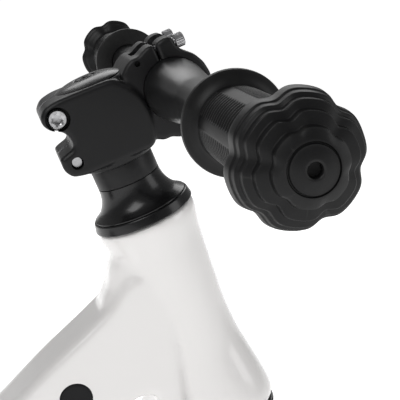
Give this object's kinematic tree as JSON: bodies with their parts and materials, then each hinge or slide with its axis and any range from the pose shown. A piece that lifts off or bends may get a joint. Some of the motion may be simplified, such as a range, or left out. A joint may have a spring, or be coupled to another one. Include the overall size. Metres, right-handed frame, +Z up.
{
  "type": "balance bike",
  "caption": "Child's pedal-free balance bike: one-piece cast frame, threadless steering, straight bar with bulb-ended grips, height-adjustable saddle on a quick-release post.",
  "frame": {"origin": "on the ground, midway between the two axles and midway across the bar", "axes": "+X forward (riding direction), +Y to the rider's left, +Z up"},
  "size_m": [0.882, 0.4708, 0.5423],
  "materials": {
    "frame_white": "smooth gloss white paint over a casting",
    "bar_black": "gloss black",
    "stem_black": "satin black anodised",
    "headset_black": "gloss black",
    "plug_black": "plain black",
    "grip_rubber": "matt black, moulded bands",
    "tyre_rubber": "matt black",
    "wheel_black": "satin black moulding",
    "saddle_cover": "matt black synthetic leather over foam",
    "saddle_base": "grained black",
    "bolt_steel": "bright plated",
    "bearing_steel": "ground",
    "tube_steel": "drawn tube"
  },
  "bodies": {
    "frame": {"frame": "frame_white", "beam_plug_left": "plug_black", "beam_plug_right": "plug_black", "headset_base_ring": "headset_black", "headset_bearing_upper": "bearing_steel", "headset_bearing_lower": "bearing_steel", "headset_lower_ring": "headset_black", "seat_clamp_collar": "stem_black", "seat_clamp_skewer": "bolt_steel", "seat_clamp_nut": "bolt_steel", "seat_clamp_pin": "bolt_steel", "rear_axle": "bolt_steel", "rear_axle_nut": "bolt_steel", "rear_spacer_left": "bearing_steel", "rear_spacer_right": "bearing_steel", "rear_bearing_tube": "bearing_steel"},
    "steering": {"fork": "frame_white", "steerer": "tube_steel", "crown_race": "bearing_steel", "headset_compression_ring": "bearing_steel", "headset_cover": "headset_black", "headset_spacer": "stem_black", "stem": "stem_black", "stem_faceplate": "stem_black", "faceplate_bolt_upper_left": "bolt_steel", "faceplate_bolt_upper_right": "bolt_steel", "faceplate_bolt_lower_left": "bolt_steel", "faceplate_bolt_lower_right": "bolt_steel", "stem_pinch_bolt_upper": "bolt_steel", "stem_pinch_bolt_lower": "bolt_steel", "stem_top_cap": "stem_black", "top_cap_bolt": "bolt_steel", "star_nut": "bearing_steel", "front_axle": "bolt_steel", "front_axle_nut": "bolt_steel", "front_spacer_left": "bearing_steel", "front_spacer_right": "bearing_steel", "front_bearing_tube": "bearing_steel"},
    "bar": {"handlebar": "bar_black", "grip_left": "grip_rubber", "grip_right": "grip_rubber"},
    "front_wheel": {"front_tyre": "tyre_rubber", "front_wheel": "wheel_black", "front_bearing_left": "bearing_steel", "front_bearing_right": "bearing_steel"},
    "rear_wheel": {"rear_tyre": "tyre_rubber", "rear_wheel": "wheel_black", "rear_bearing_left": "bearing_steel", "rear_bearing_right": "bearing_steel"},
    "seat": {"seatpost": "stem_black", "saddle_clamp_lower": "stem_black", "saddle_clamp_upper": "stem_black", "saddle_clamp_bolt": "bolt_steel", "saddle_clamp_nut": "bolt_steel", "saddle_rails": "tube_steel", "saddle_shell": "saddle_base", "saddle_pad": "saddle_cover"},
    "clamp_lever": {"seat_clamp_lever": "stem_black"}
  },
  "joints": [
    {"name": "steering", "type": "hinge", "parent": "frame", "child": "steering", "pos_m": [0.12843, 0, 0.47615], "axis": [-0.3746, 0, 0.9272], "continuous": true},
    {"name": "handlebar_roll", "type": "hinge", "parent": "steering", "child": "bar", "pos_m": [0.15495, 0, 0.51383], "axis": [0, 1, 0], "range_deg": [-20, 20]},
    {"name": "front_wheel_spin", "type": "hinge", "parent": "steering", "child": "front_wheel", "pos_m": [0.29, 0, 0.151], "axis": [0, 1, 0], "continuous": true},
    {"name": "rear_wheel_spin", "type": "hinge", "parent": "frame", "child": "rear_wheel", "pos_m": [-0.29, 0, 0.151], "axis": [0, 1, 0], "continuous": true},
    {"name": "seat_height", "type": "slide", "parent": "frame", "child": "seat", "axis": [-0.309, 0, 0.9511], "range_m": [0, 0.05]},
    {"name": "seat_clamp_lever", "type": "hinge", "parent": "frame", "child": "clamp_lever", "pos_m": [-0.14112, 0.0146, 0.23303], "axis": [-0.309, 0, 0.9511], "range_deg": [0, 120]}
  ]
}
